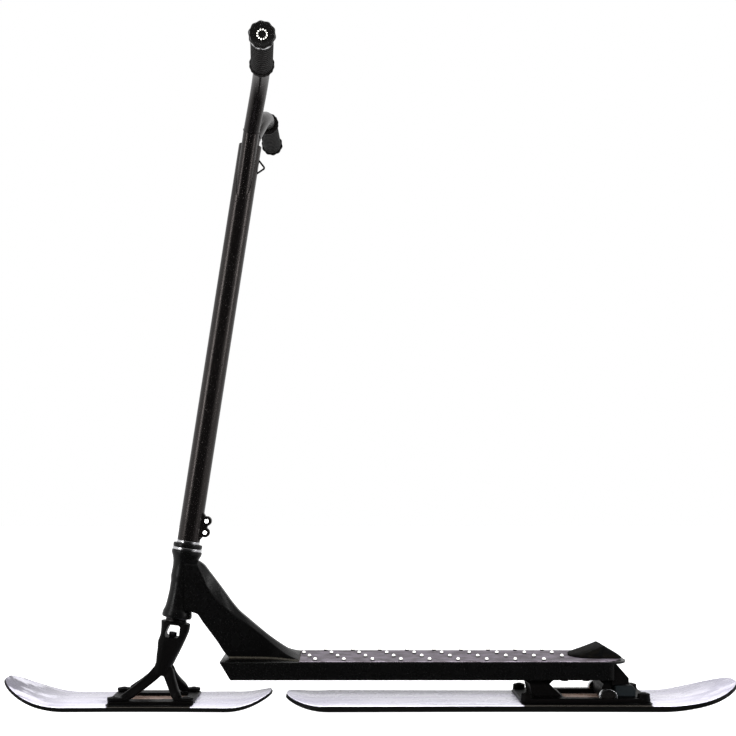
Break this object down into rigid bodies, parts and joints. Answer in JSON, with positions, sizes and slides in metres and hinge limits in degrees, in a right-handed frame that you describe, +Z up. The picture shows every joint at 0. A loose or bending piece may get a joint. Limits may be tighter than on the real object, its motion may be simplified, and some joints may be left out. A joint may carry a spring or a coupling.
{
  "type": "snow scooter",
  "caption": "Kick-scooter deck, neck, fork and T-shaped handlebar carried on short skis in line; the bars steer the front ski and the rear ski rocks under the tail.",
  "frame": {"origin": "on the ground, on the centreline, midway between the front ski's nose and the rear ski's tail", "axes": "+X towards the tail, +Y towards the rider's right, +Z up"},
  "size_m": [1.0196, 0.5737, 0.8672],
  "materials": {
    "bar_paint": "satin black paint on steel tube",
    "frame_paint": "satin black paint on aluminium",
    "cast_black": "black powder coat on cast aluminium",
    "polished_alloy": "bright machined aluminium",
    "bright_steel": "bright zinc-plated steel",
    "dark_steel": "blackened steel",
    "grip_rubber": "matt ribbed rubber",
    "plug_plastic": "satin moulded plastic",
    "wedge_rubber": "dull dark olive rubber",
    "damper_rubber": "dark grey-green elastomer",
    "sheet_grit": "fine grit sheet with bright studs",
    "ski_lacquer": "pale lacquered top with soft grey mottling",
    "ski_wood": "laminated wood core, black edge",
    "ski_base_plastic": "black sintered running surface"
  },
  "bodies": {
    "deck": {"headset_cup": "polished_alloy", "upper_bearing": "bright_steel", "lower_bearing": "bright_steel", "head_tube": "frame_paint", "neck": "frame_paint", "deck_extrusion": "frame_paint", "deck_grip_sheet": "sheet_grit", "heel_wedge": "wedge_rubber", "rear_bracket": "cast_black", "bracket_bolt_front": "dark_steel", "bracket_bolt_rear": "dark_steel", "bracket_nut_plate": "dark_steel"},
    "steering": {"bar_tube": "bar_paint", "bar_arm_left": "bar_paint", "bar_arm_right": "bar_paint", "leash_loop": "dark_steel", "clamp_lug_left": "bar_paint", "clamp_lug_right": "bar_paint", "clamp_bolt_lower": "bright_steel", "clamp_bolt_upper": "bright_steel", "grip_left": "grip_rubber", "grip_right": "grip_rubber", "bar_end_plug_left": "plug_plastic", "bar_end_plug_right": "plug_plastic", "steerer_tube": "dark_steel", "steerer_shim": "dark_steel", "star_nut": "bright_steel", "compression_cap": "dark_steel", "compression_bolt": "dark_steel", "headset_spacer": "polished_alloy", "headset_cover": "plug_plastic", "crown_race": "dark_steel", "fork_crown": "cast_black", "fork_legs": "cast_black", "fork_bolt": "bright_steel", "fork_nut": "bright_steel", "front_base_frame": "cast_black", "front_bolt_nose_left": "dark_steel", "front_bolt_nose_right": "dark_steel", "front_bolt_tail_left": "dark_steel", "front_bolt_tail_right": "dark_steel", "front_ski_base": "ski_base_plastic", "front_ski_core": "ski_wood", "front_ski_topsheet": "ski_lacquer", "front_ski_insert_plate": "bright_steel"},
    "rear_ski": {"rear_base_frame": "cast_black", "rear_bolt_nose_left": "dark_steel", "rear_bolt_nose_right": "dark_steel", "rear_bolt_tail_left": "dark_steel", "rear_bolt_tail_right": "dark_steel", "rear_ski_base": "ski_base_plastic", "rear_ski_core": "ski_wood", "rear_ski_topsheet": "ski_lacquer", "rear_ski_insert_plate": "bright_steel", "rear_damper": "damper_rubber", "pivot_cap_left": "polished_alloy", "pivot_cap_right": "polished_alloy", "pivot_bush_left": "grip_rubber", "pivot_bush_right": "grip_rubber", "pivot_axle": "dark_steel"}
  },
  "joints": [
    {"name": "steering_turn", "type": "hinge", "parent": "deck", "child": "steering", "pos_m": [-0.29035, 0, 0], "axis": [0.1542, 0, 0.988], "range_deg": [-90, 90]},
    {"name": "rear_ski_rock", "type": "hinge", "parent": "deck", "child": "rear_ski", "pos_m": [0.32395, 0, 0.0158], "axis": [0, 1, 0], "range_deg": [-2.5, 0], "stiffness_Nm_per_rad": 1000}
  ]
}
